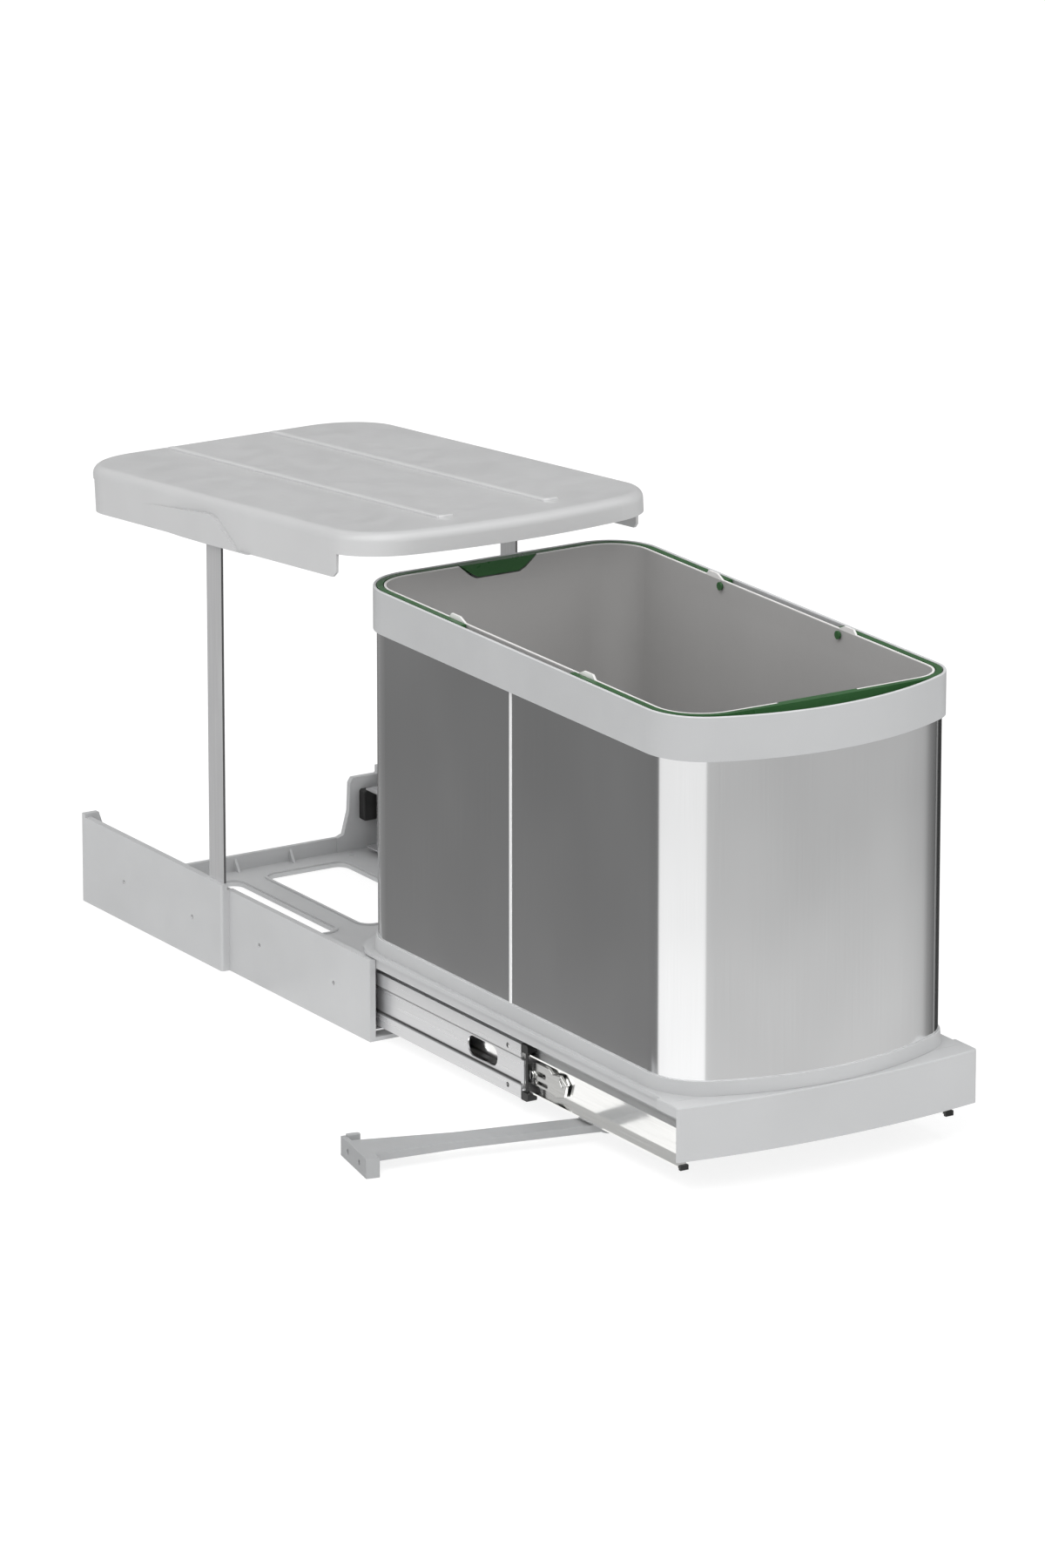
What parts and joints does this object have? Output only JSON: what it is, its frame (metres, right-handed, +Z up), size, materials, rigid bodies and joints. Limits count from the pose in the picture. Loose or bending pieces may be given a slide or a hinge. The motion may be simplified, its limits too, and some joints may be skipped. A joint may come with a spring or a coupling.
{
  "type": "pull-out cabinet waste bin",
  "caption": "Pull-out waste bin for a kitchen base cabinet: a steel-sided bin with lift-out bucket on ball slides, in a floor frame with posts and a tilting lid.",
  "frame": {"origin": "centre of the floor frame's footprint, on the cabinet floor", "axes": "+X across the cabinet to the right seen from the door, +Y into the cabinet, +Z up; the drawer pulls out along -Y"},
  "size_m": [0.4105, 0.8373, 0.3732],
  "materials": {
    "grey_plastic": "fine satin grain",
    "lid_plastic": "fine satin grain",
    "bucket_plastic": "matt",
    "green_plastic": "semi gloss",
    "black_plastic": "matt",
    "steel_sheet": "brushed up and down",
    "zinc_steel": "satin zinc plate",
    "bright_steel": "bright",
    "buffer_rubber": "matt",
    "painted_steel": "satin grey"
  },
  "bodies": {
    "base": {"base_frame": "grey_plastic", "rear_buffer": "buffer_rubber", "left_post": "painted_steel", "right_post": "painted_steel", "left_lid_pin": "bright_steel", "right_lid_pin": "bright_steel", "post_screws": "bright_steel", "rail_screws": "bright_steel", "left_outer_rail": "zinc_steel", "right_outer_rail": "zinc_steel", "left_lid_spring": "bright_steel", "right_lid_spring": "bright_steel"},
    "drawer": {"tray": "grey_plastic", "front_panel": "grey_plastic", "steel_shell": "steel_sheet", "seam_strip": "steel_sheet", "collar": "grey_plastic", "left_inner_rail": "bright_steel", "right_inner_rail": "bright_steel", "left_lever_pin": "bright_steel", "right_lever_pin": "bright_steel", "inner_rail_screws": "bright_steel", "rail_bumpers": "black_plastic", "arm_guide": "zinc_steel"},
    "left_middle": {"left_middle_rail": "zinc_steel", "left_end_guide": "black_plastic"},
    "right_middle": {"right_middle_rail": "zinc_steel", "right_end_guide": "black_plastic"},
    "left_outer_cage": {"left_outer_ball_cage": "zinc_steel", "left_outer_balls": "bright_steel"},
    "right_outer_cage": {"right_outer_ball_cage": "zinc_steel", "right_outer_balls": "bright_steel"},
    "left_inner_cage": {"left_inner_ball_cage": "zinc_steel", "left_inner_balls": "bright_steel"},
    "right_inner_cage": {"right_inner_ball_cage": "zinc_steel", "right_inner_balls": "bright_steel"},
    "bucket_body": {"bucket": "bucket_plastic"},
    "front_handle_body": {"front_handle": "green_plastic"},
    "rear_handle_body": {"rear_handle": "green_plastic"},
    "lid_body": {"lid": "lid_plastic"},
    "slider_body": {"arm_slider": "grey_plastic"},
    "arm_body": {"link_arm": "grey_plastic"},
    "left_lever": {"left_release_lever": "zinc_steel"},
    "right_lever": {"right_release_lever": "zinc_steel"}
  },
  "joints": [
    {"name": "drawer_slide", "type": "slide", "parent": "base", "child": "drawer", "axis": [0, 1, 0], "range_m": [0, 0.378]},
    {"name": "left_middle_slide", "type": "slide", "parent": "base", "child": "left_middle", "axis": [0, 1, 0], "range_m": [-0.001, 0.19]},
    {"name": "left_outer_cage_slide", "type": "slide", "parent": "base", "child": "left_outer_cage", "axis": [0, 1, 0], "range_m": [-0.001, 0.0955]},
    {"name": "left_inner_cage_slide", "type": "slide", "parent": "base", "child": "left_inner_cage", "axis": [0, 1, 0], "range_m": [-0.001, 0.2845]},
    {"name": "right_middle_slide", "type": "slide", "parent": "base", "child": "right_middle", "axis": [0, 1, 0], "range_m": [-0.001, 0.19]},
    {"name": "right_outer_cage_slide", "type": "slide", "parent": "base", "child": "right_outer_cage", "axis": [0, 1, 0], "range_m": [-0.001, 0.0955]},
    {"name": "right_inner_cage_slide", "type": "slide", "parent": "base", "child": "right_inner_cage", "axis": [0, 1, 0], "range_m": [-0.001, 0.2845]},
    {"name": "lid_tilt", "type": "hinge", "parent": "base", "child": "lid_body", "pos_m": [0, 0.0095, 0.33], "axis": [1, 0, 0], "range_deg": [0, 5.1], "stiffness_Nm_per_rad": 1, "springref_deg": -20.05},
    {"name": "bucket_lift", "type": "slide", "parent": "drawer", "child": "bucket_body", "axis": [0, 0, -1], "range_m": [-0.0115, 0]},
    {"name": "front_handle_swing", "type": "hinge", "parent": "bucket_body", "child": "front_handle_body", "pos_m": [0, -0.456, 0.3286], "axis": [1, 0, 0], "range_deg": [-90, 0]},
    {"name": "rear_handle_swing", "type": "hinge", "parent": "bucket_body", "child": "rear_handle_body", "pos_m": [0, -0.306, 0.3286], "axis": [-1, 0, 0], "range_deg": [-4.5, 0]},
    {"name": "arm_slide", "type": "slide", "parent": "drawer", "child": "slider_body", "axis": [1, 0, 0], "range_m": [-0.0005, 0.0705]},
    {"name": "arm_swing", "type": "hinge", "parent": "slider_body", "child": "arm_body", "pos_m": [-0.092, -0.471, 0.0108], "axis": [0, 0, 1], "range_deg": [-0.5, 102.8]},
    {"name": "left_lever_press", "type": "hinge", "parent": "drawer", "child": "left_lever", "pos_m": [-0.1091, -0.3995, 0.029], "axis": [1, 0, 0], "range_deg": [0, 4], "stiffness_Nm_per_rad": 0.2, "springref_deg": -14.32},
    {"name": "right_lever_press", "type": "hinge", "parent": "drawer", "child": "right_lever", "pos_m": [0.1091, -0.3995, 0.029], "axis": [1, 0, 0], "range_deg": [0, 4], "stiffness_Nm_per_rad": 0.2, "springref_deg": -14.32}
  ],
  "couplings": [
    {"joint": "left_middle_slide", "follows": "drawer_slide", "ratio": 0.5},
    {"joint": "left_outer_cage_slide", "follows": "drawer_slide", "ratio": 0.25},
    {"joint": "left_inner_cage_slide", "follows": "drawer_slide", "ratio": 0.75},
    {"joint": "right_middle_slide", "follows": "drawer_slide", "ratio": 0.5},
    {"joint": "right_outer_cage_slide", "follows": "drawer_slide", "ratio": 0.25},
    {"joint": "right_inner_cage_slide", "follows": "drawer_slide", "ratio": 0.75},
    {"joint": "arm_slide", "follows": "drawer_slide", "ratio": 0.18518},
    {"joint": "arm_swing", "follows": "drawer_slide", "rad_per_m": 4.7189}
  ]
}
